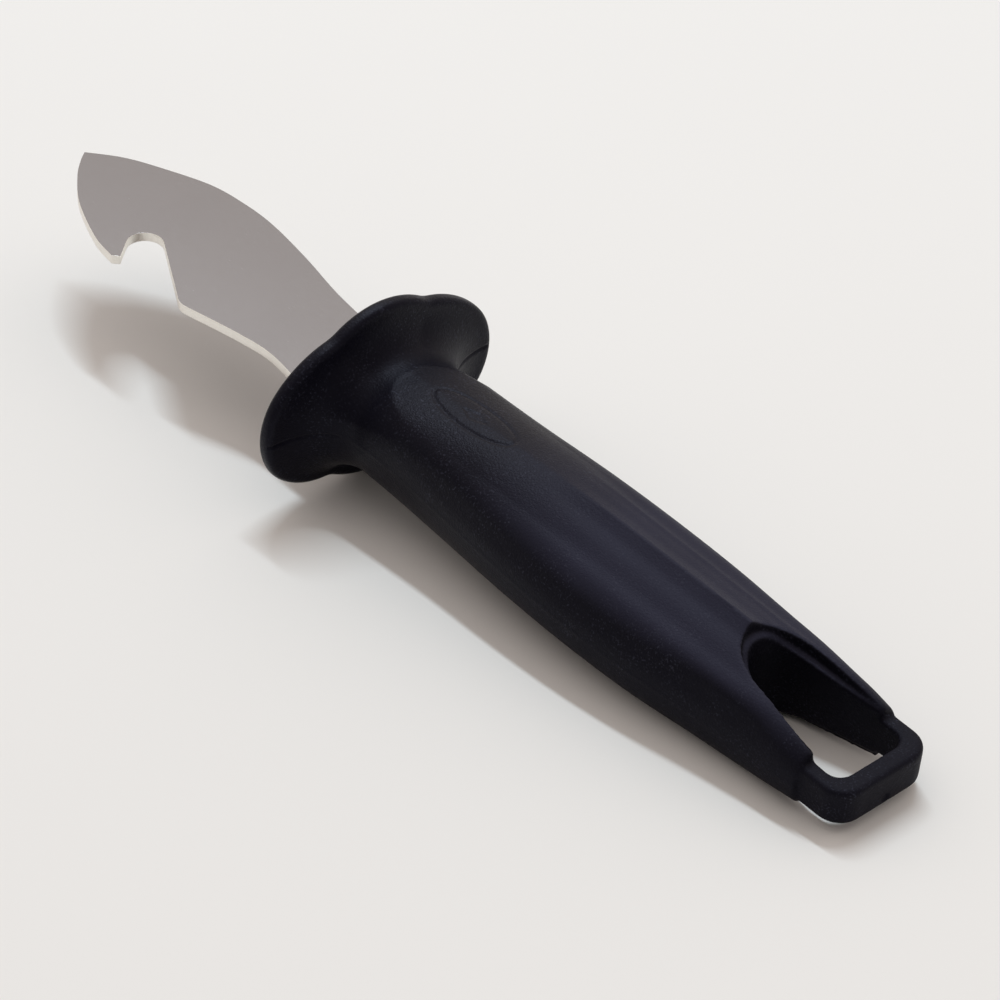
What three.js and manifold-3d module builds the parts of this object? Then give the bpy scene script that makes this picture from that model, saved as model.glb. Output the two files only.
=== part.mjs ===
// Hoof knife: a flat stainless blade with a hook notch, held in a moulded handle with a petalled guard.
//
// Knife frame, in millimetres: X runs along the knife from the butt to the blade's tip with 0 in the
// middle of the guard's rim, Y points to the side of the blade that has the hook notch, and Z is square
// to the blade. The finished knife is then turned to lie as it rests on a table.

import * as THREE from "three";
import { mergeVertices } from "three/addons/utils/BufferGeometryUtils.js";
import Module from "manifold-3d";

const wasm = await Module();
wasm.setup();

// ---- Driving dimensions ----

const CLEARANCE = 0.3;

// Blade, as points of its outline on the knife's middle plane
const BLADE_THICKNESS = 1.8;
const BLADE_EDGE_BREAK = 0.2;
const ROOT_HALF_WIDTH = 9.8;
const SPINE_START_X = 12;
const SPINE = [
  [24.1, -11.1],
  [35.4, -13.2],
  [46.8, -14.7],
  [54.9, -14.6],
  [63.0, -13.3],
  [72.5, -9.3],
  [79.0, -5.8],
];
const TIP = [84.4, -1.15];
const FRONT = [
  [82.7, 0.9],
  [79.0, 4.3],
  [72.1, 8.8],
  [62.2, 12.6],
];
const HOOK_POINT = [56.0, 13.6];
const HOOK_HEEL = [54.9, 12.5];
const NOTCH_CENTRE = [55.3, 6.9];
const NOTCH_RADIUS = 3.35;
const NOTCH_HOOK_ANGLE = THREE.MathUtils.degToRad(42);
const NOTCH_CHOIL_ANGLE = THREE.MathUtils.degToRad(-119);
const CHOIL_START = [39.2, 11.8];
const CHOIL_CORNER = [38.1, 12.4];
const CHOIL_END = [36.9, 12.2];
const LOWER_EDGE = [
  [25.6, 9.6],
  [17.6, 8.6],
];
const LOWER_EDGE_END_X = 8;

// Tang, hidden in the handle
const TANG_HALF_WIDTH = 5.5;
const TANG_START_X = -6;
const TANG_END_X = -78;
const TANG_HOLE_RADIUS = 3;
const TANG_HOLES_X = [-30, -58];

// Guard: eight petals, named by the valleys between them on the +Y side
const VALLEY_UPPER_INNER = [9.8, 15.0];
const VALLEY_UPPER_OUTER = [21.5, 8.1];
const VALLEY_LOWER_OUTER = [21.9, -7.4];
const VALLEY_LOWER_INNER = [10.6, -12.2];
const PETAL_RISE = { top: 3.2, upper: 1.2, side: 2.5, lower: 1.4, bottom: 3.2 };
const VALLEY_SOFTENING = 0.06;
const RIM_FRONT_X = 1.5;
const RIM_REAR_X = -1.4;
const RIM_ROUNDING = 0.9;
const GUARD_CROWN_X = 2.6;
const CROWN_FACE = 0.45;
const CROWN_SLOPE = { share: 0.75, rise: 0.6 };

// Handle body, station by station towards the butt. Shoulders lie SHOULDER_Y off the middle plane.
// x, half width, top, top shoulder, bottom, bottom shoulder, swell of the top between ridge and shoulder
const SHOULDER_Y = 8;
const STATIONS = [
  [-9, 11.5, 9.4, 8.1, 9.4, 8.0, 0.3],
  [-18, 11.5, 9.9, 8.3, 9.9, 8.3, 0.4],
  [-30, 12.3, 10.5, 8.4, 10.2, 8.5, 0.6],
  [-45, 13.4, 11.2, 8.7, 10.3, 8.6, 0.5],
  [-60, 13.9, 11.5, 8.6, 9.7, 8.4, 0.1],
  [-75, 13.4, 11.6, 8.5, 8.3, 8.0, -0.1],
  [-88, 12.0, 11.5, 8.2, 7.1, 7.1, -0.2],
  [-97, 11.3, 10.4, 7.9, 6.3, 6.3, -0.1],
  [-104, 11.1, 7.6, 6.7, 5.4, 5.3, 0],
  [-109.6, 10.8, 5.6, 5.3, 4.7, 4.5, 0],
];
const BODY_END_X = -109.6;

// How the section curves: shares of the way from ridge to shoulder, then from shoulder to side
const CROWN_NEAR = 0.4;
const CROWN_FAR = 0.75;
const UNDERSIDE_SWELL = 0.3;
const FLANK_REACH = 0.62;
const FLANK_SHOULDER = 0.87;
const FLANK_SIDE = 0.58;

// Butt ring and hang slot
const BUTT_X = -118.1;
const RING_HALF_WIDTH = 9.9;
const RING_TOP = 3.5;
const RING_BOTTOM = -3.1;
const RING_CORNER = 4;
const RING_OVERLAP = 6;
const SLOT_NOSE_X = -89.3;
const SLOT_CHEEK = [-96, 5.1];
const SLOT_FLARE = [-109, 7.0];
const SLOT_END_X = -114.6;
const SLOT_END_HALF_WIDTH = 7.2;
const SLOT_CORNER = 2.5;
const RECESS_NOSE_X = -87.9;
const RECESS_CHEEK = [-96, 6.3];
const RECESS_END = [-111, 7.8];
const RECESS_TOP = [
  [-86, 10.2],
  [-89, 8.9],
  [-94, 6.6],
  [-109, 5.0],
  [-112, 4.6],
];
const RECESS_BOTTOM = [
  [-86, -7.4],
  [-89, -6.7],
  [-95, -5.6],
  [-102, -4.4],
  [-112, -3.2],
];
const NOSE_TURN = 0.35;
const NOSE_FULLNESS = 0.87;

// Parts of the handle closer to the guard than this do not bear on the table
const FOOT_CLEAR = 20;

// Mesh fineness
const COLUMNS = 72;
const BODY_ROWS = 19;
const PEG_SIDES = 20;
const RIM_ROWS = 6;
const FILLET_ROWS = 7;
const SECTION_SAMPLES = 24;
const FAR = 60;

// ---- Solids ----

function solidOf(geometry) {
  const bare = geometry.index ? geometry.toNonIndexed() : geometry.clone();
  bare.deleteAttribute("normal");
  bare.deleteAttribute("uv");
  const merged = mergeVertices(bare, 1e-4);
  return new wasm.Manifold(
    new wasm.Mesh({
      numProp: 3,
      vertProperties: merged.attributes.position.array,
      triVerts: new Uint32Array(merged.index.array),
    }),
  );
}

function geometryOf(solid) {
  const mesh = solid.getMesh();
  const geometry = new THREE.BufferGeometry();
  geometry.setAttribute("position", new THREE.BufferAttribute(mesh.vertProperties, 3));
  geometry.setIndex(new THREE.BufferAttribute(mesh.triVerts, 1));
  const faceted = geometry.toNonIndexed();
  faceted.computeVertexNormals();
  return faceted;
}

// An outline in the XY plane made into a slab between two heights.
function slab(shape, bottom, top, curveSegments = 6) {
  const geometry = new THREE.ExtrudeGeometry(shape, {
    depth: top - bottom,
    bevelEnabled: false,
    curveSegments,
  });
  geometry.translate(0, 0, bottom);
  return solidOf(geometry);
}

const vectors = (points) => points.map(([x, y]) => new THREE.Vector2(x, y));

// An outline in the XZ plane, given as points, made into a prism that spans the handle's width.
function crossPrism(points) {
  const outline = new THREE.Shape(vectors(points));
  const geometry = new THREE.ExtrudeGeometry(outline, { depth: 2 * FAR, bevelEnabled: false });
  geometry.rotateX(Math.PI / 2);
  geometry.translate(0, FAR, 0);
  return solidOf(geometry);
}

function roundPeg(x, radius, height) {
  const geometry = new THREE.CylinderGeometry(radius, radius, height, PEG_SIDES);
  geometry.rotateX(Math.PI / 2);
  geometry.translate(x, 0, 0);
  return solidOf(geometry);
}

// ---- Handle sections ----

const lerp = THREE.MathUtils.lerp;

// A point [x, y] on the other side of the middle plane.
const mirroredY = ([x, y]) => [x, -y];

// The station values at x, on a smooth curve through the stations.
function stationAt(x) {
  const last = STATIONS.length - 1;
  let i = 0;
  while (i < last - 1 && x < STATIONS[i + 1][0]) i++;
  const before = STATIONS[Math.max(i - 1, 0)];
  const from = STATIONS[i];
  const to = STATIONS[i + 1];
  const after = STATIONS[Math.min(i + 2, last)];
  const span = to[0] - from[0];
  const t = THREE.MathUtils.clamp((x - from[0]) / span, 0, 1);
  return from.slice(1).map((value, k) => {
    const next = to[k + 1];
    const slopeIn = ((next - before[k + 1]) / (to[0] - before[0])) * span;
    const slopeOut = ((after[k + 1] - value) / (after[0] - from[0])) * span;
    const t2 = t * t;
    const t3 = t2 * t;
    return (
      (2 * t3 - 3 * t2 + 1) * value +
      (t3 - 2 * t2 + t) * slopeIn +
      (3 * t2 - 2 * t3) * next +
      (t3 - t2) * slopeOut
    );
  });
}

// Half of a section, from the middle plane over the shoulder to the widest point.
function halfSection(halfWidth, crest, shoulder, swell) {
  const top = new THREE.CubicBezierCurve(
    new THREE.Vector2(0, crest),
    new THREE.Vector2(SHOULDER_Y * CROWN_NEAR, lerp(crest, shoulder, CROWN_NEAR) + swell),
    new THREE.Vector2(SHOULDER_Y * CROWN_FAR, lerp(crest, shoulder, CROWN_FAR) + swell),
    new THREE.Vector2(SHOULDER_Y, shoulder),
  );
  const flank = new THREE.CubicBezierCurve(
    new THREE.Vector2(SHOULDER_Y, shoulder),
    new THREE.Vector2(lerp(SHOULDER_Y, halfWidth, FLANK_REACH), shoulder * FLANK_SHOULDER),
    new THREE.Vector2(halfWidth, shoulder * FLANK_SIDE),
    new THREE.Vector2(halfWidth, 0),
  );
  return [...top.getPoints(SECTION_SAMPLES), ...flank.getPoints(SECTION_SAMPLES).slice(1)];
}

// The distance from the axis to a curve of points at an angle, 0 at the side and a right angle on top.
function reach(points, angle) {
  const angles = points.map((p) => Math.atan2(p.y, p.x));
  for (let i = 1; i < points.length; i++) {
    if (angle >= angles[i] - 1e-9) {
      const t = (angles[i - 1] - angle) / (angles[i - 1] - angles[i]);
      return lerp(points[i - 1].length(), points[i].length(), THREE.MathUtils.clamp(t, 0, 1));
    }
  }
  return points[points.length - 1].length();
}

// The body's radius at each column of the mesh, for one place along the handle.
function bodyRadii(x) {
  const [halfWidth, crest, shoulder, keel, lowShoulder, swell] = stationAt(x);
  const upper = halfSection(halfWidth, crest, shoulder, swell);
  const lower = halfSection(halfWidth, keel, lowShoulder, UNDERSIDE_SWELL);
  return columnAngles().map((angle) => {
    const folded = Math.atan2(Math.abs(Math.sin(angle)), Math.abs(Math.cos(angle)));
    return reach(Math.sin(angle) >= 0 ? upper : lower, folded);
  });
}

function columnAngles() {
  return Array.from({ length: COLUMNS }, (_, i) => (i / COLUMNS) * 2 * Math.PI);
}

// ---- Guard ----

// A petal's arc through two valleys, bulging by rise away from the axis.
function petal([y0, z0], [y1, z1], rise) {
  const half = Math.hypot(y1 - y0, z1 - z0) / 2;
  const radius = (half * half + rise * rise) / (2 * rise);
  const out = new THREE.Vector2(z1 - z0, y0 - y1).normalize();
  const middle = new THREE.Vector2((y0 + y1) / 2, (z0 + z1) / 2);
  if (out.dot(middle) < 0) out.negate();
  return { centre: middle.addScaledVector(out, rise - radius), radius, z0, y0 };
}

// A guard point [y, z] on the other side of the middle plane.
const mirrored = ([y, z]) => [-y, z];

const PETALS = [
  [VALLEY_UPPER_OUTER, VALLEY_UPPER_INNER, PETAL_RISE.upper],
  [VALLEY_UPPER_INNER, mirrored(VALLEY_UPPER_INNER), PETAL_RISE.top],
  [mirrored(VALLEY_UPPER_INNER), mirrored(VALLEY_UPPER_OUTER), PETAL_RISE.upper],
  [mirrored(VALLEY_UPPER_OUTER), mirrored(VALLEY_LOWER_OUTER), PETAL_RISE.side],
  [mirrored(VALLEY_LOWER_OUTER), mirrored(VALLEY_LOWER_INNER), PETAL_RISE.lower],
  [mirrored(VALLEY_LOWER_INNER), VALLEY_LOWER_INNER, PETAL_RISE.bottom],
  [VALLEY_LOWER_INNER, VALLEY_LOWER_OUTER, PETAL_RISE.lower],
  [VALLEY_LOWER_OUTER, VALLEY_UPPER_OUTER, PETAL_RISE.side],
].map(([from, to, rise]) => petal(from, to, rise));

const turn = (angle) => ((angle % (2 * Math.PI)) + 2 * Math.PI) % (2 * Math.PI);

function petalReach(angle) {
  const starts = PETALS.map((p) => turn(Math.atan2(p.z0, p.y0)));
  const passed = starts.filter((start) => start <= turn(angle)).length;
  const { centre, radius } = PETALS[(passed + PETALS.length - 1) % PETALS.length];
  const along = centre.x * Math.cos(angle) + centre.y * Math.sin(angle);
  const across = centre.x * Math.sin(angle) - centre.y * Math.cos(angle);
  return along + Math.sqrt(radius * radius - across * across);
}

// The guard's outline, with the valleys between its petals softened.
function guardRadii() {
  const steps = [-2, -1, 0, 1, 2];
  return columnAngles().map((angle) => {
    const near = steps.map((step) => petalReach(angle + (step / 2) * VALLEY_SOFTENING));
    return near.reduce((sum, value) => sum + value) / steps.length;
  });
}

// ---- Handle ----

// A closed skin through rows of radii, each { x, radii }, from the blade end to the butt end.
function skin(rows) {
  const angles = columnAngles();
  const positions = [];
  const index = [];
  for (const { x, radii } of rows) {
    radii.forEach((radius, i) => {
      positions.push(x, radius * Math.cos(angles[i]), radius * Math.sin(angles[i]));
    });
  }
  positions.push(rows[0].x, 0, 0, rows[rows.length - 1].x, 0, 0);
  const front = rows.length * COLUMNS;
  const rear = front + 1;
  for (let i = 0; i < COLUMNS; i++) {
    const j = (i + 1) % COLUMNS;
    for (let row = 0; row < rows.length - 1; row++) {
      const a = row * COLUMNS;
      const b = a + COLUMNS;
      index.push(a + i, b + i, a + j, a + j, b + i, b + j);
    }
    const end = (rows.length - 1) * COLUMNS;
    index.push(front, i, j, rear, end + j, end + i);
  }
  const geometry = new THREE.BufferGeometry();
  geometry.setAttribute("position", new THREE.Float32BufferAttribute(positions, 3));
  geometry.setIndex(index);
  return solidOf(geometry);
}

function handleRows() {
  const outline = guardRadii();
  const neck = bodyRadii(STATIONS[0][0]);
  const inset = (amount) => outline.map((radius) => radius - amount);
  const rows = [
    { x: GUARD_CROWN_X, radii: outline.map((radius) => radius * CROWN_FACE) },
    {
      x: lerp(RIM_FRONT_X, GUARD_CROWN_X, CROWN_SLOPE.rise),
      radii: outline.map((radius) => radius * CROWN_SLOPE.share),
    },
  ];
  for (let i = 0; i <= RIM_ROWS; i++) {
    const angle = (i / RIM_ROWS) * Math.PI;
    const side = Math.cos(angle) >= 0 ? RIM_FRONT_X - RIM_ROUNDING : RIM_REAR_X + RIM_ROUNDING;
    rows.push({
      x: side + RIM_ROUNDING * Math.cos(angle),
      radii: inset(RIM_ROUNDING * (1 - Math.sin(angle))),
    });
  }
  const rim = inset(2 * RIM_ROUNDING);
  for (let i = 1; i <= FILLET_ROWS; i++) {
    const angle = (i / FILLET_ROWS) * (Math.PI / 2);
    const share = 1 - Math.sin(angle);
    rows.push({
      x: lerp(STATIONS[0][0], RIM_REAR_X, Math.cos(angle)),
      radii: neck.map((radius, k) => lerp(radius, rim[k], share)),
    });
  }
  for (let i = 1; i <= BODY_ROWS; i++) {
    const x = lerp(STATIONS[0][0], BODY_END_X, i / BODY_ROWS);
    rows.push({ x, radii: bodyRadii(x) });
  }
  return rows;
}

// The flat ring that closes the hang slot, seen from above, with its start buried in the body.
function ringOutline() {
  const start = BODY_END_X + RING_OVERLAP;
  const cornerX = BUTT_X + RING_CORNER;
  const cornerY = RING_HALF_WIDTH - RING_CORNER;
  const shape = new THREE.Shape();
  shape.moveTo(start, RING_HALF_WIDTH);
  shape.absarc(cornerX, cornerY, RING_CORNER, Math.PI / 2, Math.PI);
  shape.absarc(cornerX, -cornerY, RING_CORNER, Math.PI, Math.PI * 1.5);
  shape.lineTo(start, -RING_HALF_WIDTH);
  return shape;
}

// Adds to a shape the half of a rounded nose that runs from its tip on the axis out to a cheek.
function noseOut(shape, noseX, [cheekX, cheekY]) {
  const turnX = lerp(noseX, cheekX, NOSE_TURN);
  shape.moveTo(noseX, 0);
  shape.bezierCurveTo(noseX, cheekY / 2, turnX, cheekY * NOSE_FULLNESS, cheekX, cheekY);
}

// The other half of the nose, back from the mirrored cheek to the tip.
function noseBack(shape, noseX, [cheekX, cheekY]) {
  const turnX = lerp(noseX, cheekX, NOSE_TURN);
  shape.lineTo(cheekX, -cheekY);
  shape.bezierCurveTo(turnX, -cheekY * NOSE_FULLNESS, noseX, -cheekY / 2, noseX, 0);
}

// The hang slot seen from above: a round nose, sides that spread, and a square end with round corners.
function slotOutline() {
  const shape = new THREE.Shape();
  const cornerX = SLOT_END_X + SLOT_CORNER;
  const cornerY = SLOT_END_HALF_WIDTH - SLOT_CORNER;
  noseOut(shape, SLOT_NOSE_X, SLOT_CHEEK);
  shape.lineTo(...SLOT_FLARE);
  shape.absarc(cornerX, cornerY, SLOT_CORNER, Math.PI / 2, Math.PI);
  shape.absarc(cornerX, -cornerY, SLOT_CORNER, Math.PI, Math.PI * 1.5);
  shape.lineTo(...mirroredY(SLOT_FLARE));
  noseBack(shape, SLOT_NOSE_X, SLOT_CHEEK);
  return shape;
}

// The shallow step round the slot's mouth, seen from above.
function recessOutline() {
  const shape = new THREE.Shape();
  noseOut(shape, RECESS_NOSE_X, RECESS_CHEEK);
  shape.lineTo(...RECESS_END);
  shape.lineTo(...mirroredY(RECESS_END));
  noseBack(shape, RECESS_NOSE_X, RECESS_CHEEK);
  return shape;
}

function recessCutters() {
  const plan = slab(recessOutline(), -FAR, FAR, 5);
  return [
    [RECESS_TOP, FAR],
    [RECESS_BOTTOM, -FAR],
  ].map(([floor, outside]) => {
    const first = floor[0][0];
    const last = floor[floor.length - 1][0];
    const side = [...floor, [last, outside], [first, outside]];
    return plan.intersect(crossPrism(side));
  });
}

// ---- Blade ----

// The blade and its hidden tang seen from above, from the tang's end along the spine and back.
function bladeOutline() {
  const shape = new THREE.Shape();
  shape.moveTo(TANG_END_X, -TANG_HALF_WIDTH);
  shape.lineTo(TANG_START_X, -TANG_HALF_WIDTH);
  shape.lineTo(TANG_START_X, -ROOT_HALF_WIDTH);
  shape.lineTo(SPINE_START_X, -ROOT_HALF_WIDTH);
  shape.splineThru(vectors([...SPINE, TIP]));
  shape.splineThru(vectors([...FRONT, HOOK_POINT]));
  shape.lineTo(...HOOK_HEEL);
  shape.absarc(...NOTCH_CENTRE, NOTCH_RADIUS, NOTCH_HOOK_ANGLE, NOTCH_CHOIL_ANGLE, true);
  shape.lineTo(...CHOIL_START);
  shape.quadraticCurveTo(...CHOIL_CORNER, ...CHOIL_END);
  shape.splineThru(vectors([...LOWER_EDGE, [LOWER_EDGE_END_X, ROOT_HALF_WIDTH]]));
  shape.lineTo(TANG_START_X, ROOT_HALF_WIDTH);
  shape.lineTo(TANG_START_X, TANG_HALF_WIDTH);
  shape.lineTo(TANG_END_X, TANG_HALF_WIDTH);
  return shape;
}

// A solid drilled through square to the blade at each of the tang's holes.
function drilled(solid, radius) {
  return TANG_HOLES_X.reduce((left, x) => left.subtract(roundPeg(x, radius, FAR)), solid);
}

function bladeSolid() {
  const geometry = new THREE.ExtrudeGeometry(bladeOutline(), {
    depth: BLADE_THICKNESS - 2 * BLADE_EDGE_BREAK,
    bevelThickness: BLADE_EDGE_BREAK,
    bevelSize: BLADE_EDGE_BREAK,
    bevelOffset: -BLADE_EDGE_BREAK,
    bevelSegments: 1,
    curveSegments: 8,
  });
  geometry.translate(0, 0, BLADE_EDGE_BREAK - BLADE_THICKNESS / 2);
  return drilled(solidOf(geometry), TANG_HOLE_RADIUS);
}

// The pocket that the tang sits in, open at the guard's front, with pegs left standing through its holes.
function tangPocket() {
  const wide = ROOT_HALF_WIDTH + CLEARANCE;
  const narrow = TANG_HALF_WIDTH + CLEARANCE;
  const mouthX = GUARD_CROWN_X + 1;
  const neckX = TANG_START_X - CLEARANCE;
  const endX = TANG_END_X - CLEARANCE;
  const upper = [
    [mouthX, wide],
    [neckX, wide],
    [neckX, narrow],
    [endX, narrow],
  ];
  const lower = upper.map(mirroredY).reverse();
  const half = BLADE_THICKNESS / 2 + CLEARANCE;
  const pocket = slab(new THREE.Shape(vectors([...upper, ...lower])), -half, half);
  return drilled(pocket, TANG_HOLE_RADIUS - CLEARANCE);
}

function handleSolid() {
  const ring = slab(ringOutline(), RING_BOTTOM, RING_TOP);
  const cutters = [slab(slotOutline(), -FAR, FAR), ...recessCutters(), tangPocket()];
  return cutters.reduce((solid, cutter) => solid.subtract(cutter), skin(handleRows()).add(ring));
}

// ---- Assembly ----

function mesh(name, solid, material) {
  const made = new THREE.Mesh(geometryOf(solid), material);
  made.name = name;
  return made;
}

const blackPlastic = () => new THREE.MeshStandardMaterial({ color: 0x16151a, roughness: 0.55, metalness: 0 });
const satinSteel = () => new THREE.MeshStandardMaterial({ color: 0x98908d, roughness: 0.35, metalness: 1 });

// The angle at which the knife lies on its guard's lowest petal and the highest point it then touches.
function restAngle(geometry) {
  const position = geometry.getAttribute("position");
  let foot = 0;
  for (let i = 1; i < position.count; i++) if (position.getZ(i) < position.getZ(foot)) foot = i;
  let slope = Infinity;
  for (let i = 0; i < position.count; i++) {
    const run = position.getX(foot) - position.getX(i);
    if (run > FOOT_CLEAR) slope = Math.min(slope, (position.getZ(i) - position.getZ(foot)) / run);
  }
  return Math.atan(slope);
}

const knife = new THREE.Group();
const handle = mesh("handle", handleSolid(), blackPlastic());
knife.add(mesh("blade", bladeSolid(), satinSteel()), handle);
knife.rotation.y = -restAngle(handle.geometry);

const group = new THREE.Group();
group.add(knife);
const box = new THREE.Box3().setFromObject(group, true);
knife.position.set(-(box.min.x + box.max.x) / 2, -(box.min.y + box.max.y) / 2, -box.min.z);

export default group;
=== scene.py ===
"""Hoof knife: a fine moulded handle, a ground steel blade, their materials, the floor and the light."""

import math

import bpy
import numpy as np
from mathutils import Matrix, Vector


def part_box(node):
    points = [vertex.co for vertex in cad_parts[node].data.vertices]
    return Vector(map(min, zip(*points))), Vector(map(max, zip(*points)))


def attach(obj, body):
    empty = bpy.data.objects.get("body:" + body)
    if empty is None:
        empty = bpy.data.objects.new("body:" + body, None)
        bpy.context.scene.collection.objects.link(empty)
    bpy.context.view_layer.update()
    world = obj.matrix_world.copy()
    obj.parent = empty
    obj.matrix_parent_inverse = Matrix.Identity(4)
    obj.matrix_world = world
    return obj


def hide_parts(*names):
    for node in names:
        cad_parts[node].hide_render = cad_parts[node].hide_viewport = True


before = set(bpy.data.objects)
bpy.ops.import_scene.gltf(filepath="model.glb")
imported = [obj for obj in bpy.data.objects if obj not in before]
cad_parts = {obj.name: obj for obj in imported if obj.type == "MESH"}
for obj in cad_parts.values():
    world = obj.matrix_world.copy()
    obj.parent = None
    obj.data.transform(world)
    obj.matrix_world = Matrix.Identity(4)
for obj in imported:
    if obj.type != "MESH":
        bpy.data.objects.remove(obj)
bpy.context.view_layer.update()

# Lengths are in millimetres in the knife frame, as in the CAD part: X runs from the butt to the blade's
# tip with 0 in the middle of the guard's rim, Y points to the notch's side, and Z is square to the blade.
MM = 0.001

# ---- The knife's dimensions ----

BUTT_X = -118.1
BLADE_THICKNESS = 1.8
ROOT_HALF_WIDTH = 9.8

VALLEYS = [(21.5, 8.1), (9.8, 15.0), (10.6, -12.2), (21.9, -7.4)]
PETAL_RISE = {"top": 3.2, "upper": 1.2, "side": 2.5, "lower": 1.4, "bottom": 3.2}
VALLEY_SOFTENING = 0.06
RIM_FRONT_X = 1.5
RIM_REAR_X = -1.4
RIM_ROUNDING = 1.1
GUARD_CROWN_X = 2.6
CROWN_SHARES = (0.2, 0.45)
CROWN_EDGE_SHARES = (0.5, 0.93)

# x, half width, top, top shoulder, bottom, bottom shoulder, swell of the top between ridge and shoulder
SHOULDER_Y = 8
STATIONS = np.array([
    (-9, 11.5, 9.4, 8.1, 9.4, 8.0, 0.3),
    (-18, 11.5, 9.9, 8.3, 9.9, 8.3, 0.4),
    (-30, 12.3, 10.5, 8.4, 10.2, 8.5, 0.6),
    (-45, 13.4, 11.2, 8.7, 10.3, 8.6, 0.5),
    (-60, 13.9, 11.5, 8.6, 9.7, 8.4, 0.1),
    (-75, 13.4, 11.6, 8.5, 8.3, 8.0, -0.1),
    (-88, 12.0, 11.5, 8.2, 7.1, 7.1, -0.2),
    (-97, 11.3, 10.4, 7.9, 6.3, 6.3, -0.1),
    (-104, 11.1, 7.6, 6.7, 5.4, 5.3, 0),
    (-109.6, 10.8, 5.6, 5.3, 4.7, 4.5, 0),
])
BODY_END_X = -109.6
NECK_X = -9
NECK_INSET = 0.7
UNDERSIDE_SWELL = 0.3
TOP_TURNS = (0.4, 0.75)
FLANK_REACH = 0.62
FLANK_SHOULDER = 0.87
FLANK_SIDE = 0.58

# Flutes and ridges of the upper side: height, distance from the middle plane, width
FLUTES = [(0.13, 0, 0.6), (-0.17, 2.4, 1.1), (-0.06, 7.4, 0.9), (0.12, 9.4, 1.2)]
CREASE_NOTCH_SIDE = (0.12, 5.0, 1.3)
CREASE_SPINE_SIDE = (0.18, 5.9, 0.55)
FLUTES_REACH = 12.5
FLUTES_FRONT = (-42, -58)
FLUTES_REAR = (-99, -90)

# A shallow groove along each flank, and the mould's parting ridge: height, place in Z, width
FLANK_GROOVE = (-0.28, 4.6, 2.0)
FLANK_FRONT = (-16, -30)
FLANK_REAR = (-106, -98)
PARTING_RIDGE = (0.09, 0, 0.3)

# The thumb flat is cut into a body that swells from the neck: x, the swell's height on the middle plane
SWELL_HALF_WIDTH = 12.0
SWELL_RISE = [(-4, 8.3), (-8, 9.35), (-12, 10.45), (-16, 11.3), (-21, 13.5), (-26, 18.0)]

RING_HALF_WIDTH = 9.9
RING_TOP = 3.5
RING_BOTTOM = -3.1
RING_CORNER = 4.2
RING_EDGE = 0.7
SLOT_NOSE_X = -89.3
SLOT_CHEEK = (-96, 5.1)
SLOT_FLARE = (-109, 7.0)
SLOT_END_X = -114.6
SLOT_END_HALF_WIDTH = 7.2
SLOT_CORNER = 2.5
RECESS_NOSE_X = -87.9
RECESS_CHEEK = (-96, 6.3)
RECESS_END = (-111, 7.8)
RECESS_TOP = [(-86, 10.2), (-89, 8.9), (-94, 6.6), (-109, 5.0), (-112, 4.6)]
RECESS_BOTTOM = [(-86, -7.4), (-89, -6.7), (-95, -5.6), (-102, -4.4), (-112, -3.2)]

# A plain oval with a lozenge, sunk into the thumb flat
MARK_X = -24
MARK_OVAL = (9.5, 3.1)
MARK_LOZENGE = (3.4, 1.3)
MARK_LINE = 0.34
MARK_DEPTH = 0.16
MARK_FLOOR_Z = 5
LOZENGE_EDGE = (-0.1, 0.35)

# The parting line's groove behind the guard's rim
PARTING_DEPTH = 0.3
PARTING_LINE = 0.24
PARTING_X = -1
PARTING_Y = 12.5

# The mould's gate mark on the end face
GATE_Z = -1.6
GATE_RADIUS = 1.0
GATE_DEPTH = 0.3
GATE_EDGE = 0.4
GATE_REACH = 1

TANG_HALF_WIDTH = 5.5
TANG_NECK_X = -6
TANG_END_X = -78
TANG_HOLE_RADIUS = 3
TANG_HOLES_X = (-30, -58)
TANG_GAP = 0.15

SPINE = [
    (12, -9.8), (24.1, -11.1), (35.4, -13.2), (46.8, -14.7),
    (54.9, -14.6), (63, -13.3), (72.5, -9.3), (79, -5.8),
]
TIP = (84.4, -1.15)
FRONT = [(82.7, 0.9), (79, 4.3), (72.1, 8.8), (62.2, 12.6), (56.0, 13.6)]
HOOK_HEEL = (54.9, 12.5)
NOTCH_CENTRE = (55.3, 6.9)
NOTCH_RADIUS = 3.35
NOTCH_TURN = (42, -119)
CHOIL = [(39.2, 11.8), (38.1, 12.4), (36.9, 12.2)]
LOWER_EDGE = [(36.9, 12.2), (25.6, 9.6), (17.6, 8.6), (8, 9.8)]
BLADE_EDGE = 0.2
BLADE_EDGE_ANGLE = 60
BLADE_SHARP_ANGLE = 28

# ---- Mesh fineness ----

COLUMNS = 540
CROWN_ROWS = 12
RIM_ROWS = 15
NECK_ROWS = 36
BODY_STEP = 0.45
SECTION_POINTS = 40
HOLE_STEPS = 48
VOXEL = 0.24
SMOOTHING = 0.12
SLOT_SMOOTHING = 0.33
SLOT_SMOOTHING_X = (-84, -92)
SMOOTHING_ROUNDS = 14

# How far the cutting tools reach past the knife
FAR = 40


# ---- The knife frame's place in the row frame ----

def knife_matrix():
    """The matrix that takes a point in the knife frame, in millimetres, to the row frame, in metres."""
    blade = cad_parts["blade"].data
    up = max(blade.polygons, key=lambda face: face.area).normal.copy()
    if up.z < 0:
        up.negate()
    up.y = 0
    up.normalize()
    along = Vector((up.z, 0, -up.x))
    heights = [up.dot(v.co) for v in blade.vertices]
    butt = min(along.dot(v.co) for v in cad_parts["handle"].data.vertices)
    low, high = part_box("handle")
    origin = (
        along * (butt - BUTT_X * MM)
        + up * (min(heights) + max(heights)) / 2
        + Vector((0, (low.y + high.y) / 2, 0))
    )
    turn = Matrix((along, (0, 1, 0), up)).transposed().to_4x4()
    return Matrix.Translation(origin) @ turn @ Matrix.Scale(MM, 4)


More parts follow.
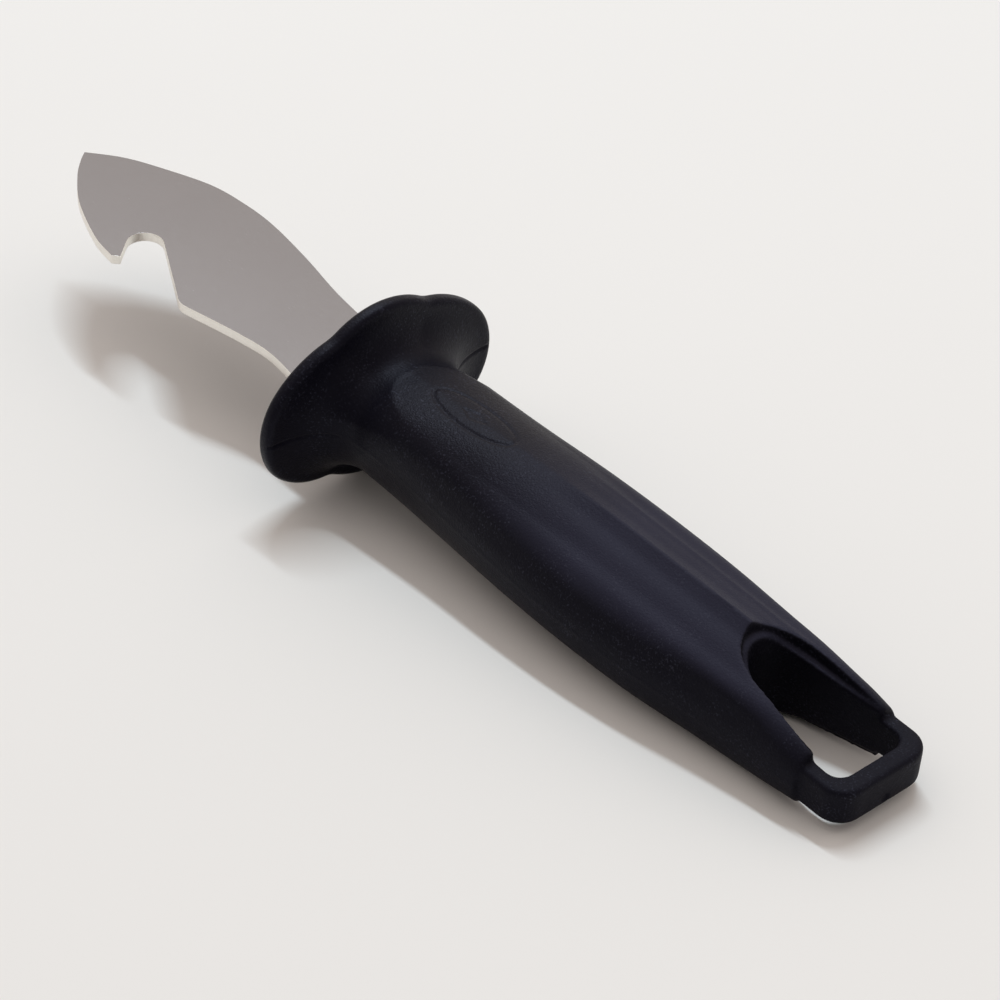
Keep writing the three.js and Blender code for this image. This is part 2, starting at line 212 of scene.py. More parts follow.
KNIFE = knife_matrix()


# ---- Small mesh tools ----

def new_object(name, points, faces):
    mesh = bpy.data.meshes.new(name)
    mesh.from_pydata([tuple(p) for p in points], [], faces)
    mesh.validate()
    piece = bpy.data.objects.new(name, mesh)
    bpy.context.scene.collection.objects.link(piece)
    return piece


def applied(piece):
    """Replaces the piece's mesh by what its modifiers make of it."""
    evaluated = piece.evaluated_get(bpy.context.evaluated_depsgraph_get())
    mesh = bpy.data.meshes.new_from_object(evaluated)
    piece.modifiers.clear()
    piece.data = mesh
    return piece


def cut(piece, tool, operation="DIFFERENCE"):
    """Cuts the piece with the tool, or joins or crosses the two, and removes the tool."""
    modifier = piece.modifiers.new("cut", "BOOLEAN")
    modifier.operation = operation
    modifier.object = tool
    modifier.solver = "MANIFOLD"
    applied(piece)
    bpy.data.objects.remove(tool)
    return piece


def coordinates(mesh):
    out = np.empty(len(mesh.vertices) * 3)
    mesh.vertices.foreach_get("co", out)
    return out.reshape(-1, 3)


def set_coordinates(mesh, points):
    mesh.vertices.foreach_set("co", points.ravel())
    mesh.update()


def inside_box(mesh, node):
    """Brings the few points that stand out of the CAD piece's box back to it."""
    low, high = (np.array(corner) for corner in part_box(node))
    set_coordinates(mesh, np.clip(coordinates(mesh), low, high))


def smoothstep(low, high, value):
    t = np.clip((value - low) / (high - low), 0, 1)
    return t * t * (3 - 2 * t)


def bezier(a, b, c, d, count):
    """Points on a cubic curve; each argument is a point, or an array of points for many curves."""
    t = np.linspace(0, 1, count)[:, None]
    a, b, c, d = (np.asarray(p, float)[..., None, :] for p in (a, b, c, d))
    return a * (1 - t) ** 3 + 3 * b * t * (1 - t) ** 2 + 3 * c * t**2 * (1 - t) + d * t**3


def spline(points, steps):
    """A smooth curve through points, with steps pieces between each two."""
    p = np.array(points, float)
    p = np.vstack([p[0], p, p[-1]])
    out = []
    for a, b, c, d in zip(p, p[1:], p[2:], p[3:]):
        t = np.linspace(0, 1, steps, endpoint=False)[:, None]
        square, cube = 2 * a - 5 * b + 4 * c - d, 3 * b - a - 3 * c + d
        out.append(0.5 * (2 * b + (c - a) * t + square * t**2 + cube * t**3))
    return np.vstack([*out, p[-1:]])


def circle(centre, radius):
    return arc(centre, radius, 0, 360 - 360 / HOLE_STEPS, HOLE_STEPS)


def arc(centre, radius, start, end, count):
    """Points on an arc, with its angles in degrees."""
    a = np.radians(np.linspace(start, end, count))
    return np.c_[centre[0] + radius * np.cos(a), centre[1] + radius * np.sin(a)]


def prism(name, outline, low, high, plane="xy"):
    """A closed prism on an outline, square to the XY plane, or to the XZ plane and then along Y."""
    outline = np.asarray(outline, float)
    area = np.sum(outline[:, 0] * np.roll(outline[:, 1], -1) - np.roll(outline[:, 0], -1) * outline[:, 1])
    if (area < 0) == (plane == "xy"):
        outline = outline[::-1]
    n = len(outline)
    rows = []
    for level in (low, high):
        for a, b in outline:
            rows.append((a, b, level) if plane == "xy" else (a, level, b))
    faces = [[i, (i + 1) % n, n + (i + 1) % n, n + i] for i in range(n)]
    faces += [list(range(n))[::-1], list(range(n, 2 * n))]
    return new_object(name, rows, faces)


# ---- Handle sections ----

def stations_at(x):
    """The station values at each x, on a smooth curve through the stations."""
    places = -STATIONS[:, 0]
    i = np.clip(np.searchsorted(places, -x, side="right") - 1, 0, len(STATIONS) - 2)
    before, start = STATIONS[np.maximum(i - 1, 0)], STATIONS[i]
    end, after = STATIONS[i + 1], STATIONS[np.minimum(i + 2, len(STATIONS) - 1)]
    span = end[:, :1] - start[:, :1]
    t = np.clip((x[:, None] - start[:, :1]) / span, 0, 1)
    slope_in = (end - before) / (end[:, :1] - before[:, :1]) * span
    slope_out = (after - start) / (after[:, :1] - start[:, :1]) * span
    values = (
        (2 * t**3 - 3 * t**2 + 1) * start
        + (t**3 - 2 * t**2 + t) * slope_in
        + (3 * t**2 - 2 * t**3) * end
        + (t**3 - t**2) * slope_out
    )
    return values[:, 1:].T


def half_sections(half_width, crest, shoulder, swell):
    """For each place along the handle, half a section as points (y, z) from the middle to the side."""
    def pair(y, z):
        return np.stack([y + 0 * crest, z + 0 * crest], -1)

    def turning(share):
        return pair(SHOULDER_Y * share, crest + (shoulder - crest) * share + swell)

    top = bezier(
        pair(0, crest),
        turning(TOP_TURNS[0]),
        turning(TOP_TURNS[1]),
        pair(SHOULDER_Y, shoulder),
        SECTION_POINTS,
    )
    flank = bezier(
        pair(SHOULDER_Y, shoulder),
        pair(SHOULDER_Y + (half_width - SHOULDER_Y) * FLANK_REACH, shoulder * FLANK_SHOULDER),
        pair(half_width, shoulder * FLANK_SIDE),
        pair(half_width, 0),
        SECTION_POINTS,
    )
    return np.concatenate([top, flank[:, 1:]], axis=1)


ANGLES = np.arange(COLUMNS) / COLUMNS * 2 * math.pi
UPPER = np.sin(ANGLES) >= 0
FOLDED = np.arctan2(np.abs(np.sin(ANGLES)), np.abs(np.cos(ANGLES)))


def radii_of(section):
    """The radius at each column's angle, from half a section folded onto all four quarters."""
    angles = np.arctan2(section[:, 1], section[:, 0])
    return np.interp(FOLDED, angles[::-1], np.hypot(section[:, 0], section[:, 1])[::-1])


def bump(value, middle, width):
    """A smooth bump of height 1."""
    return np.exp(-(((value - middle) / width) ** 2))


def raised(value, shape):
    height, middle, width = shape
    return height * bump(value, middle, width)


def relief(x, y, z):
    """How far the surface stands proud of the plain sections: the flutes and ridges of the grip."""
    side = np.abs(y)
    fluted = smoothstep(*FLUTES_FRONT, x) * smoothstep(*FLUTES_REAR, x) * (side < FLUTES_REACH)
    crease = np.where(y < 0, raised(side, CREASE_SPINE_SIDE), raised(side, CREASE_NOTCH_SIDE))
    flutes = crease + sum(raised(side, flute) for flute in FLUTES)
    on_flank = side > SHOULDER_Y
    groove = raised(z, FLANK_GROOVE) * smoothstep(*FLANK_FRONT, x) * smoothstep(*FLANK_REAR, x)
    parting = np.where(on_flank, raised(z, PARTING_RIDGE), 0)
    return np.where(z > 0, fluted * flutes + groove * on_flank, 0) + parting


def body_radii(x):
    """The body's radius for each place x and each column."""
    half_width, crest, shoulder, keel, low_shoulder, swell = stations_at(x)
    upper = half_sections(half_width, crest, shoulder, swell)
    lower = half_sections(half_width, keel, low_shoulder, UNDERSIDE_SWELL)
    rise_x, rise = np.array(SWELL_RISE).T
    swelling = np.interp(-x, -rise_x, rise)
    rows = []
    for i in range(len(x)):
        radii = np.where(UPPER, radii_of(upper[i]), radii_of(lower[i]))
        swell_radii = 1 / np.hypot(np.cos(ANGLES) / SWELL_HALF_WIDTH, np.sin(ANGLES) / swelling[i])
        if x[i] > SWELL_RISE[-1][0]:
            radii = np.where(UPPER, np.minimum(radii, swell_radii), radii)
        radii = radii + relief(x[i], radii * np.cos(ANGLES), radii * np.sin(ANGLES))
        rows.append(radii)
    return np.array(rows)


# ---- Guard outline ----

def petal(start, end, rise):
    """Centre and radius of a petal's arc through two valleys."""
    start, end = np.array(start, float), np.array(end, float)
    half = np.linalg.norm(end - start) / 2
    radius = (half * half + rise * rise) / (2 * rise)
    out = np.array([end[1] - start[1], start[0] - end[0]]) / (2 * half)
    middle = (start + end) / 2
    if out @ middle < 0:
        out = -out
    return middle + out * (rise - radius), radius, math.atan2(start[1], start[0])


def petals():
    def mirrored(p):
        return (-p[0], p[1])

    upper_outer, upper_inner, lower_inner, lower_outer = VALLEYS
    corners = [
        (upper_outer, upper_inner, "upper"),
        (upper_inner, mirrored(upper_inner), "top"),
        (mirrored(upper_inner), mirrored(upper_outer), "upper"),
        (mirrored(upper_outer), mirrored(lower_outer), "side"),
        (mirrored(lower_outer), mirrored(lower_inner), "lower"),
        (mirrored(lower_inner), lower_inner, "bottom"),
        (lower_inner, lower_outer, "lower"),
        (lower_outer, upper_outer, "side"),
    ]
    return [petal(start, end, PETAL_RISE[rise]) for start, end, rise in corners]


def guard_radii():
    """The guard's radius for each column, with the valleys between the petals softened."""
    whole = 2 * math.pi
    made = petals()
    starts = np.array([start % whole for _, _, start in made])

    def reach(angles):
        passed = (starts[None, :] <= (angles % whole)[:, None]).sum(1)
        which = (passed - 1) % len(made)
        centres = np.array([made[k][0] for k in which])
        radius = np.array([made[k][1] for k in which])
        along = centres[:, 0] * np.cos(angles) + centres[:, 1] * np.sin(angles)
        across = centres[:, 0] * np.sin(angles) - centres[:, 1] * np.cos(angles)
        return along + np.sqrt(radius**2 - across**2)

    turns = np.linspace(-1, 1, 9) * VALLEY_SOFTENING
    return np.mean([reach(ANGLES + turn) for turn in turns], axis=0)


# ---- Handle ----

def handle_rows():
    """Rows of (x, radii) over the guard's face, round its rim, and down the neck and the body."""
    outline = guard_radii()
    rows = [(GUARD_CROWN_X, outline * share) for share in CROWN_SHARES]
    flat_share, edge_share = CROWN_SHARES[1], CROWN_EDGE_SHARES[0]
    for share in np.linspace(*CROWN_EDGE_SHARES, CROWN_ROWS):
        fall = ((share - flat_share) / edge_share) ** 2
        rows.append((GUARD_CROWN_X + (RIM_FRONT_X - GUARD_CROWN_X) * fall, outline * share))
    for angle in np.linspace(0, math.pi, RIM_ROWS):
        middle = RIM_FRONT_X - RIM_ROUNDING if angle <= math.pi / 2 else RIM_REAR_X + RIM_ROUNDING
        x = middle + RIM_ROUNDING * math.cos(angle)
        rows.append((x, outline - RIM_ROUNDING * (1 - math.sin(angle))))
    rim = outline - RIM_ROUNDING - NECK_INSET
    steps = np.linspace(0, math.pi / 2, NECK_ROWS)[1:]
    x = RIM_REAR_X + (NECK_X - RIM_REAR_X) * (1 - np.cos(steps))
    neck = body_radii(x)
    for i, angle in enumerate(steps):
        share = 1 - math.sin(angle)
        rows.append((x[i], neck[i] + (rim - neck[i]) * share))
    places = np.arange(NECK_X - BODY_STEP, BODY_END_X, -BODY_STEP)
    rows += list(zip(places, body_radii(places)))
    return rows


def skin(name, rows):
    """A closed surface through rows of (x, radii), from the blade end to the butt end."""
    points = [
        np.c_[np.full(COLUMNS, x), radii * np.cos(ANGLES), radii * np.sin(ANGLES)] for x, radii in rows
    ]
    ends = [(rows[0][0], 0, 0), (rows[-1][0], 0, 0)]
    last = (len(rows) - 1) * COLUMNS
    front, rear = len(rows) * COLUMNS, len(rows) * COLUMNS + 1
    faces = []
    for i in range(COLUMNS):
        j = (i + 1) % COLUMNS
        faces += [(a + i, a + COLUMNS + i, a + COLUMNS + j, a + j) for a in range(0, last, COLUMNS)]
        faces += [(front, i, j), (rear, last + j, last + i)]
    return new_object(name, np.vstack([*points, ends]), faces)


def ring():
    """The flat ring that closes the slot, with rounded edges."""
    def outline(inset):
        start = BODY_END_X + 7
        corner = RING_CORNER - inset
        centre_x, centre_y = BUTT_X + RING_CORNER, RING_HALF_WIDTH - RING_CORNER
        return np.vstack([
            [(start, RING_HALF_WIDTH - inset)],
            arc((centre_x, centre_y), corner, 90, 180, 24),
            arc((centre_x, -centre_y), corner, 180, 270, 24),
            [(start, inset - RING_HALF_WIDTH)],
        ])

    levels = []
    for angle in np.linspace(-math.pi / 2, math.pi / 2, 14):
        side = RING_TOP - RING_EDGE if angle > 0 else RING_BOTTOM + RING_EDGE
        inset = RING_EDGE * (1 - math.cos(angle))
        levels.append([(x, y, side + RING_EDGE * math.sin(angle)) for x, y in outline(inset)])
    n = len(levels[0])
    last = (len(levels) - 1) * n
    faces = []
    for a in range(0, last, n):
        faces += [(a + i, a + (i + 1) % n, a + n + (i + 1) % n, a + n + i) for i in range(n)]
    faces += [list(range(n))[::-1], list(range(last, last + n))]
    return new_object("ring", np.vstack(levels), faces)


def nose(nose_x, cheek):
    """Half of a rounded nose, from its tip on the axis out to a cheek."""
    turn_x = nose_x + (cheek[0] - nose_x) * 0.35
    return bezier((nose_x, 0), (nose_x, cheek[1] / 2), (turn_x, cheek[1] * 0.87), cheek, 20)


def mirrored_loop(half):
    """A closed outline from half of it, which starts and ends on or beside the X axis."""
    half = np.asarray(half)
    other = half[::-1] * (1, -1)
    return np.vstack([half, other[:-1]])


def slot_outline():
    """The slot seen from above: a rounded nose, flared sides and a rounded end."""
    corner = (SLOT_END_X + SLOT_CORNER, SLOT_END_HALF_WIDTH - SLOT_CORNER)
    return mirrored_loop(np.vstack([
        nose(SLOT_NOSE_X, SLOT_CHEEK), [SLOT_FLARE], arc(corner, SLOT_CORNER, 90, 180, 16),
    ]))


def recess_tool(floor, outside):
    """The body that sinks the surface round the slot to a floor, given as points (x, z)."""
    plan = mirrored_loop(np.vstack([nose(RECESS_NOSE_X, RECESS_CHEEK), [RECESS_END]]))
    side = spline(floor, 8).tolist()
    side += [(side[-1][0], outside), (side[0][0], outside)]
    return cut(prism("plan", plan, -FAR, FAR), prism("side", side, -FAR, FAR, "xz"), "INTERSECT")


def tang_pocket():
    """The pocket round the blade's tang, with pegs left standing through the tang's holes."""
    wide, narrow = ROOT_HALF_WIDTH + TANG_GAP, TANG_HALF_WIDTH + TANG_GAP
    mouth, neck, end = GUARD_CROWN_X + 3, TANG_NECK_X - TANG_GAP, TANG_END_X - TANG_GAP
    half = [(mouth, wide), (neck, wide), (neck, narrow), (end, narrow)]
    outline = half + [(x, -y) for x, y in half[::-1]]
    level = BLADE_THICKNESS / 2 + TANG_GAP
    pocket = prism("pocket", outline, -level, level)
    for x in TANG_HOLES_X:
        cut(pocket, prism("peg", circle((x, 0), TANG_HOLE_RADIUS - TANG_GAP), -FAR, FAR))
    return pocket


def smoothed(points, edges, weights, rounds):
    """Moves each point towards the mean of its neighbours, by its own weight, in rounds."""
    count = np.bincount(edges.ravel(), minlength=len(points)).astype(float)[:, None]
    for _ in range(rounds):
        total = np.zeros_like(points)
        for axis in range(3):
            total[:, axis] = np.bincount(edges[:, 0], points[edges[:, 1], axis], len(points))
            total[:, axis] += np.bincount(edges[:, 1], points[edges[:, 0], axis], len(points))
        points = points + (total / count - points) * weights[:, None]
    return points


def engraving(x, y):
    """How deep the mark is at each place on the thumb flat, from 0 to 1."""
    along, across = x - MARK_X, np.abs(y)
    a, b = MARK_OVAL
    level = np.hypot(along / a, across / b)
    slope = np.hypot(along / a**2, across / b**2) / np.maximum(level, 0.01)
    line = bump((level - 1) / np.maximum(slope, 0.01), 0, MARK_LINE)
    a, b = MARK_LOZENGE
    inside = (1 - np.abs(along) / a - across / b) / math.hypot(1 / a, 1 / b)
    return np.maximum(line, smoothstep(*LOZENGE_EDGE, inside))


def smooth_moulding(mesh):
    """Evens out the remeshed surface, most of all round the slot."""
    edges = np.empty(len(mesh.edges) * 2, int)
    mesh.edges.foreach_get("vertices", edges)
    points = coordinates(mesh)
    weights = SMOOTHING + SLOT_SMOOTHING * smoothstep(*SLOT_SMOOTHING_X, points[:, 0])
    set_coordinates(mesh, smoothed(points, edges.reshape(-1, 2), weights, SMOOTHING_ROUNDS))


def mould_marks(mesh):
    """Sinks the mark on the thumb flat, the parting line behind the rim and the gate mark."""
    points = coordinates(mesh)
    x, y, z = points.T
    on_flat = (z > MARK_FLOOR_Z) & (np.abs(x - MARK_X) < 2 * MARK_OVAL[0])
    z -= MARK_DEPTH * engraving(x, y) * on_flat
    behind_rim = (x < PARTING_X) & (x > NECK_X) & (np.abs(y) > PARTING_Y)
    x += np.where(behind_rim, PARTING_DEPTH * bump(z, 0, PARTING_LINE), 0)
    gate = smoothstep(GATE_RADIUS, GATE_RADIUS - GATE_EDGE, np.hypot(y, z - GATE_Z))
    x += GATE_DEPTH * gate * (x < BUTT_X + GATE_REACH)
    set_coordinates(mesh, points)


def handle_piece():
    handle = skin("handle_moulding", handle_rows())
    cut(handle, ring(), "UNION")
    cut(handle, prism("slot", slot_outline(), -FAR, FAR))
    cut(handle, recess_tool(RECESS_TOP, FAR))
    cut(handle, recess_tool(RECESS_BOTTOM, -FAR))
    cut(handle, tang_pocket())
    remesh = handle.modifiers.new("remesh", "REMESH")
    remesh.mode = "VOXEL"
    remesh.voxel_size = VOXEL
    applied(handle)
    mesh = handle.data
    smooth_moulding(mesh)
    mould_marks(mesh)
    mesh.transform(KNIFE)
    inside_box(mesh, "handle")
    mesh.shade_smooth()
    return handle


# ---- Blade ----

def blade_outline():
    """The plate's outline, from the tang's end along the spine to the tip and back."""
    a, b, c = (np.array(p) for p in CHOIL)
    t = np.linspace(0, 1, 8)[:, None]
    choil = a * (1 - t) ** 2 + 2 * b * t * (1 - t) + c * t**2
    stretches = [
        [(TANG_END_X, -TANG_HALF_WIDTH), (TANG_NECK_X, -TANG_HALF_WIDTH), (TANG_NECK_X, -ROOT_HALF_WIDTH)],
        spline([*SPINE, TIP], 12)[:-1],
        spline([TIP, *FRONT], 10),
        [HOOK_HEEL],
        arc(NOTCH_CENTRE, NOTCH_RADIUS, *NOTCH_TURN, 40),
        choil[:-1],
        spline(LOWER_EDGE, 12),
        [(TANG_NECK_X, ROOT_HALF_WIDTH), (TANG_NECK_X, TANG_HALF_WIDTH), (TANG_END_X, TANG_HALF_WIDTH)],
    ]
    return np.vstack(stretches)


def blade_piece():
    blade = prism("blade_steel_plate", blade_outline(), -BLADE_THICKNESS / 2, BLADE_THICKNESS / 2)
    for x in TANG_HOLES_X:
        cut(blade, prism("hole", circle((x, 0), TANG_HOLE_RADIUS), -FAR, FAR))
    bevel = blade.modifiers.new("bevel", "BEVEL")
    bevel.width = BLADE_EDGE
    bevel.segments = 3
    bevel.limit_method = "ANGLE"
    bevel.angle_limit = math.radians(BLADE_EDGE_ANGLE)
    applied(blade)
    blade.data.transform(KNIFE)
    inside_box(blade.data, "blade")
    blade.data.shade_smooth()
    blade.data.set_sharp_from_angle(angle=math.radians(BLADE_SHARP_ANGLE))
    largest = max(face.area for face in blade.data.polygons)
    for face in blade.data.polygons:
        face.use_smooth = face.area < largest / 2
    return blade


# ---- Materials ----

# Noise scales are per metre, and places along the knife are in the row frame, in metres
GRAIN_SCALE = 3000
PEEL_SCALE = 1100
CLOUD_SCALE = 60
PATCH_SCALE = 150
GLINT_SCALE = 2700
BRUSH_SCALE = 6500
BRUSH_STRETCH = (0.05, 1.0, 1.0)
STEEL_CLOUD_SCALE = 35
SPECK_SCALE = 2600
PAPER_CLOUD_SCALE = 6
PAPER_GRAIN_SCALE = 1500

# The grip's faces that look up, between the thumb flat and the slot, are painted lighter: a painted sheen
GRIP_FROM = -0.016
GRIP_FULL = -0.042
SHEEN_NONE_X = -0.093
SHEEN_FULL_X = -0.082
SHEEN_UP_NONE = 0.45
SHEEN_UP_FULL = 0.85
WEAR_AND_HIGHLIGHT_WIDTH = 0.6 * MM

SMOOTH_BLACK = [(0.0030, 0.0028, 0.0058, 1), (0.0050, 0.0047, 0.0090, 1)]
SHEEN_PAINTED_BLACK = [(0.0150, 0.0150, 0.0275, 1), (0.0215, 0.0215, 0.0370, 1)]
WORN_AND_HIGHLIGHT_EDGE = (0.036, 0.037, 0.052, 1)
PAINTED_GLINT = (0.034, 0.036, 0.054, 1)
PLASTIC_SHEEN = (0.80, 0.80, 1.0, 1)
SATIN_STEEL = [(0.250, 0.235, 0.235, 1), (0.275, 0.260, 0.260, 1)]
CUT_STEEL = [(0.76, 0.72, 0.66, 1), (0.97, 0.94, 0.88, 1)]
PAPER = [(0.80, 0.795, 0.785, 1), (0.82, 0.815, 0.805, 1)]

# Places of the colour sockets on a Mix node, where names repeat
MIX_SHARE = 0
MIX_A = 6
MIX_B = 7
MIX_RESULT = 2


class Nodes:
    """A material's node tree, with short calls to add and link nodes."""

    def __init__(self, name):
        self.material = bpy.data.materials.new(name)
        self.material.use_nodes = True
        self.tree = self.material.node_tree
        self.shader = self.tree.nodes["Principled BSDF"]

    def add(self, kind, inputs=None, **settings):
        node = self.tree.nodes.new("ShaderNode" + kind)
        for key, value in settings.items():
            setattr(node, key, value)
        for key, value in (inputs or {}).items():
            self.put(node, key, value)
        return node

    def put(self, node, key, value):
        if isinstance(value, bpy.types.NodeSocket):
            self.tree.links.new(value, node.inputs[key])
        else:
            node.inputs[key].default_value = value

    def noise(self, place, scale, detail=2.0, roughness=0.5):
        inputs = {"Vector": place, "Scale": scale, "Detail": detail, "Roughness": roughness}
        return self.add("TexNoise", inputs).outputs["Fac"]

    def ramp(self, value, *stops):
        """A ramp between two stops, each a place and a grey."""
        node = self.add("ValToRGB", {"Fac": value})
        for element, (place, shade) in zip(node.color_ramp.elements, stops):
            element.position = place
            element.color = (shade, shade, shade, 1)
        return node.outputs["Color"]

    def between(self, value, low, high):
        """A straight run from 0 to 1 between two values."""
        return self.add("MapRange", {"Value": value, "From Min": low, "From Max": high}).outputs["Result"]

    def dot(self, a, b):
        return self.add("VectorMath", {0: a, 1: b}, operation="DOT_PRODUCT").outputs["Value"]

    def mixed(self, share, a, b):
        node = self.add("Mix", data_type="RGBA")
        self.put(node, MIX_SHARE, share)
        self.put(node, MIX_A, a)
        self.put(node, MIX_B, b)
        return node.outputs[MIX_RESULT]

    def math(self, operation, *values):
        node = self.add("Math", operation=operation)
        for i, value in enumerate(values):
            self.put(node, i, value)
        return node.outputs[0]

    def bump(self, height, strength, distance, normal=None):
        inputs = {"Height": height, "Strength": strength, "Distance": distance}
        if normal is not None:
            inputs["Normal"] = normal
        return self.add("Bump", inputs).outputs["Normal"]


def plastic():
    """Black moulding with a fine grain and painted glints, edges painted lighter partly for wear and
    partly as a painted highlight, and a painted sheen that makes the grip's up-facing faces lighter.
    """
    n = Nodes("moulded_plastic")
    place = n.add("TexCoord").outputs["Object"]
    surface = n.add("NewGeometry").outputs
    along = n.add("SeparateXYZ", {"Vector": place}).outputs["X"]
    height = n.add("SeparateXYZ", {"Vector": surface["Normal"]}).outputs["Z"]
    grain = n.noise(place, GRAIN_SCALE, 2.0, 0.6)
    peel = n.noise(place, PEEL_SCALE)
    cloud = n.noise(place, CLOUD_SCALE, 3.0, 0.6)

    grip = n.between(along, GRIP_FROM, GRIP_FULL)
    facing_up = n.between(height, SHEEN_UP_NONE, SHEEN_UP_FULL)
    body = n.between(along, SHEEN_NONE_X, SHEEN_FULL_X)
    # Painted sheen: the grip's faces that look up, before the slot, get a lighter base colour
    painted_sheen = n.math("MULTIPLY", grip, n.math("MULTIPLY", facing_up, body))
    base = n.mixed(painted_sheen, n.mixed(cloud, *SMOOTH_BLACK), n.mixed(cloud, *SHEEN_PAINTED_BLACK))

    # Sharp convex edges are painted lighter: partly wear, partly a painted highlight
    rounded = n.add("Bevel", {"Radius": WEAR_AND_HIGHLIGHT_WIDTH}, samples=6).outputs["Normal"]
    sharp = n.ramp(n.dot(rounded, surface["Normal"]), (0.93, 1), (0.995, 0))
    convex = n.ramp(surface["Pointiness"], (0.50, 0), (0.53, 1))
    edge = n.math("MULTIPLY", sharp, convex)
    base = n.mixed(n.math("MULTIPLY", edge, 0.6), base, WORN_AND_HIGHLIGHT_EDGE)

    # Painted glints: small lighter speckles in the base colour, gathered in patches
    patches = n.ramp(n.noise(place, PATCH_SCALE), (0.40, 0.15), (0.65, 1))
    painted_glints = n.ramp(n.noise(place, GLINT_SCALE, 1.0), (0.58, 0), (0.74, 1))
    share = n.math("MULTIPLY", n.math("MULTIPLY", patches, painted_glints), 0.75)
    n.put(n.shader, "Base Color", n.mixed(share, base, PAINTED_GLINT))

    n.shader.inputs["Specular IOR Level"].default_value = 0.105
    n.shader.inputs["Specular Tint"].default_value = PLASTIC_SHEEN
    n.shader.inputs["IOR"].default_value = 1.5
    rough = n.math("MULTIPLY_ADD", grain, 0.16, n.math("MULTIPLY_ADD", grip, 0.18, 0.32))
    n.put(n.shader, "Roughness", rough)
    fine = n.bump(grain, 0.8, 0.1 * MM)
    n.put(n.shader, "Normal", n.bump(peel, 0.4, 0.08 * MM, fine))
    return n.material


def steel():
    """Satin ground faces with lengthwise brushing, and a brighter cut edge all round."""
    n = Nodes("satin_steel")
    place = n.add("TexCoord").outputs["Object"]
    stretched = n.add("Mapping", {"Vector": place, "Scale": BRUSH_STRETCH}).outputs["Vector"]
    brushed = n.noise(stretched, BRUSH_SCALE, 3.0, 0.6)
    cloud = n.noise(place, STEEL_CLOUD_SCALE, 3.0, 0.55)
    speck = n.noise(place, SPECK_SCALE, 2.0, 0.6)

    knife_up = KNIFE.to_3x3().normalized().col[2]
    facing = n.dot(n.add("NewGeometry").outputs["True Normal"], knife_up)
    rim = n.ramp(n.math("ABSOLUTE", facing), (0.15, 1), (0.75, 0))
    base = n.mixed(rim, n.mixed(cloud, *SATIN_STEEL), n.mixed(brushed, *CUT_STEEL))
    n.put(n.shader, "Base Color", base)

    n.shader.inputs["Metallic"].default_value = 1.0
    rough = n.math("MULTIPLY_ADD", brushed, 0.06, n.math("MULTIPLY_ADD", rim, 0.16, 0.23))
    n.put(n.shader, "Roughness", rough)
    fine = n.bump(brushed, 0.18, 0.01 * MM)
    n.put(n.shader, "Normal", n.bump(speck, 0.10, 0.01 * MM, fine))
    return n.material


def floor_paper():
    n = Nodes("floor_paper")
    place = n.add("TexCoord").outputs["Object"]
    cloud = n.noise(place, PAPER_CLOUD_SCALE, 3.0)
    n.put(n.shader, "Base Color", n.mixed(cloud, *PAPER))
    n.shader.inputs["Roughness"].default_value = 0.9
    n.shader.inputs["Specular IOR Level"].default_value = 0.1
    n.put(n.shader, "Normal", n.bump(n.noise(place, PAPER_GRAIN_SCALE), 0.05, 0.05 * MM))
    return n.material


# ---- Stage ----

FLOOR_HALF = 4.0

# The camera's place and axes are in the knife frame, and the light's are in the row frame
CAMERA_PLACE = (-335.07, 295.76, 348.85)
CAMERA_FORWARD = (0.5515, -0.5372, -0.6381)
CAMERA_RIGHT = (-0.6559, -0.7520, 0.0662)
LENS = 122.4
SENSOR = 36
CLIP_NEAR = 0.01
CLIP_FAR = 20

KEY_DIRECTION = Vector((0.325, -0.34, 1.0)).normalized()
KEY_LENGTH = 0.85
KEY_WIDTH = 0.08
KEY_DISTANCE = 1.6
KEY_POWER = 12.0
KEY_COLOUR = (0.81, 0.93, 1.0)

# The dome is bright above and beyond the knife and dim on the camera's side
DOME_BRIGHT_WAY = Vector((0.45, -0.64, 0.50)).normalized()
DOME_DIM_AT = -0.50
DOME_BRIGHT_AT = 0.60
DOME_DIM = (0.22, 0.198, 0.185, 1)
DOME_BRIGHT = (0.89, 0.805, 0.75, 1)


def camera():
    data = bpy.data.cameras.new("camera")
    data.lens, data.sensor_width = LENS, SENSOR
    data.clip_start, data.clip_end = CLIP_NEAR, CLIP_FAR
    made = bpy.data.objects.new("camera", data)
    bpy.context.scene.collection.objects.link(made)
    turn = KNIFE.to_3x3().normalized()
    forward = (turn @ Vector(CAMERA_FORWARD)).normalized()
    right = (turn @ Vector(CAMERA_RIGHT)).normalized()
    up = right.cross(forward).normalized()
    right = forward.cross(up)
    basis = Matrix((right, up, -forward)).transposed().to_4x4()
    made.matrix_world = Matrix.Translation(KNIFE @ Vector(CAMERA_PLACE)) @ basis
    bpy.context.scene.camera = made


def floor():
    half = FLOOR_HALF
    corners = [(-half, -half, 0), (half, -half, 0), (half, half, 0), (-half, half, 0)]
    made = new_object("floor", corners, [(0, 1, 2, 3)])
    made.data.materials.append(floor_paper())


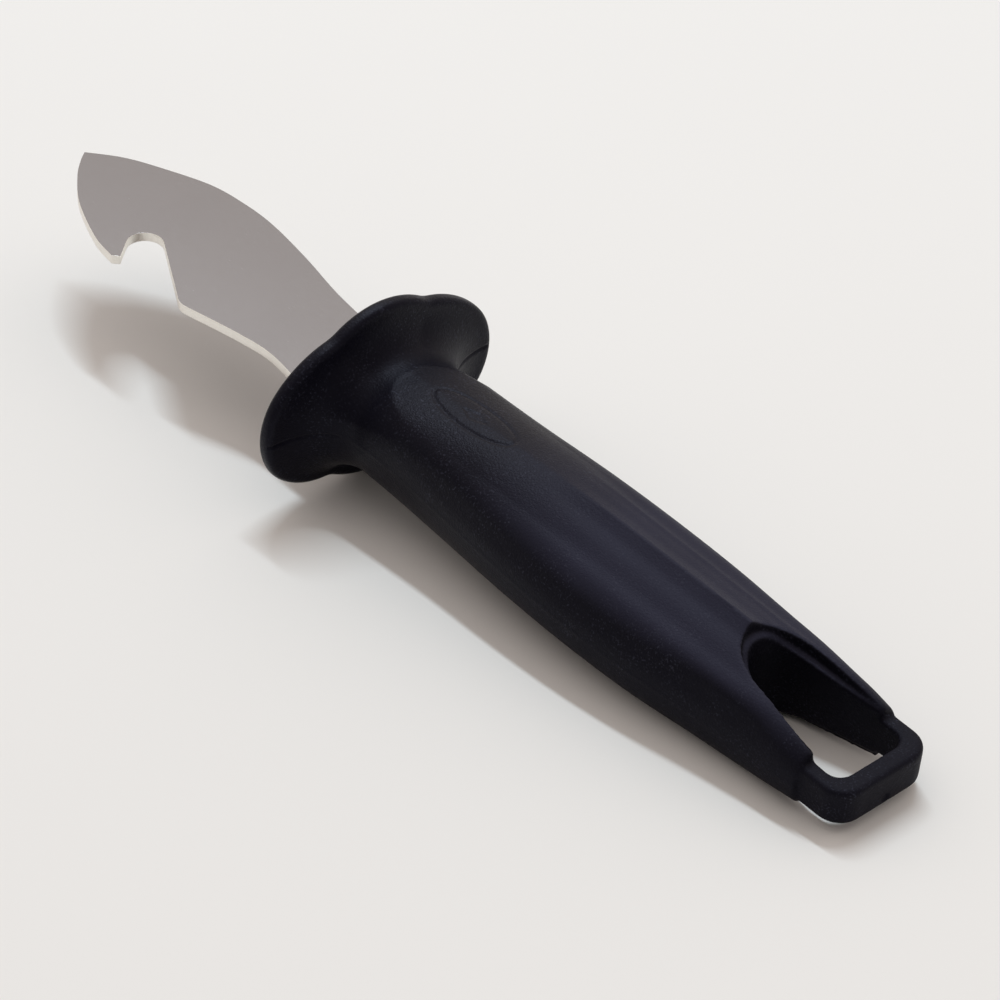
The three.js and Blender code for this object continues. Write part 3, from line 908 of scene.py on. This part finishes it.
def key_light():
    """A long softbox, which lies along the knife."""
    data = bpy.data.lights.new("key", "AREA")
    data.shape, data.size, data.size_y = "RECTANGLE", KEY_LENGTH, KEY_WIDTH
    data.energy, data.color = KEY_POWER, KEY_COLOUR
    key = bpy.data.objects.new("key", data)
    bpy.context.scene.collection.objects.link(key)
    across = KEY_DIRECTION.cross(Vector((1, 0, 0))).normalized()
    along = across.cross(KEY_DIRECTION)
    basis = Matrix((along, across, KEY_DIRECTION)).transposed().to_4x4()
    key.matrix_world = Matrix.Translation(KEY_DIRECTION * KEY_DISTANCE) @ basis


def dome():
    """A sky that turns smoothly from dim to bright."""
    world = bpy.data.worlds.new("studio")
    world.use_nodes = True
    tree = world.node_tree
    way = tree.nodes.new("ShaderNodeTexCoord").outputs["Generated"]
    facing = tree.nodes.new("ShaderNodeVectorMath")
    facing.operation = "DOT_PRODUCT"
    facing.inputs[1].default_value = DOME_BRIGHT_WAY
    tree.links.new(way, facing.inputs[0])
    share = tree.nodes.new("ShaderNodeMapRange")
    share.interpolation_type = "SMOOTHSTEP"
    share.inputs["From Min"].default_value = DOME_DIM_AT
    share.inputs["From Max"].default_value = DOME_BRIGHT_AT
    tree.links.new(facing.outputs["Value"], share.inputs["Value"])
    colour = tree.nodes.new("ShaderNodeMix")
    colour.data_type = "RGBA"
    colour.inputs[MIX_A].default_value = DOME_DIM
    colour.inputs[MIX_B].default_value = DOME_BRIGHT
    tree.links.new(share.outputs["Result"], colour.inputs[MIX_SHARE])
    tree.links.new(colour.outputs[MIX_RESULT], tree.nodes["Background"].inputs["Color"])
    bpy.context.scene.world = world


def lights():
    key_light()
    dome()
    bpy.context.scene.view_settings.view_transform = "Standard"


# ---- Assembly ----

def place(piece, node, slot, material):
    """Gives the piece its material, hides the CAD node that it replaces, and parents the piece to the root
    body.
    """
    piece.data.materials.clear()
    piece.data.materials.append(material)
    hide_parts(node)
    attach(piece, "root")


place(handle_piece(), "handle", "handle_plastic", plastic())
place(blade_piece(), "blade", "blade_steel", steel())
floor()
camera()
lights()
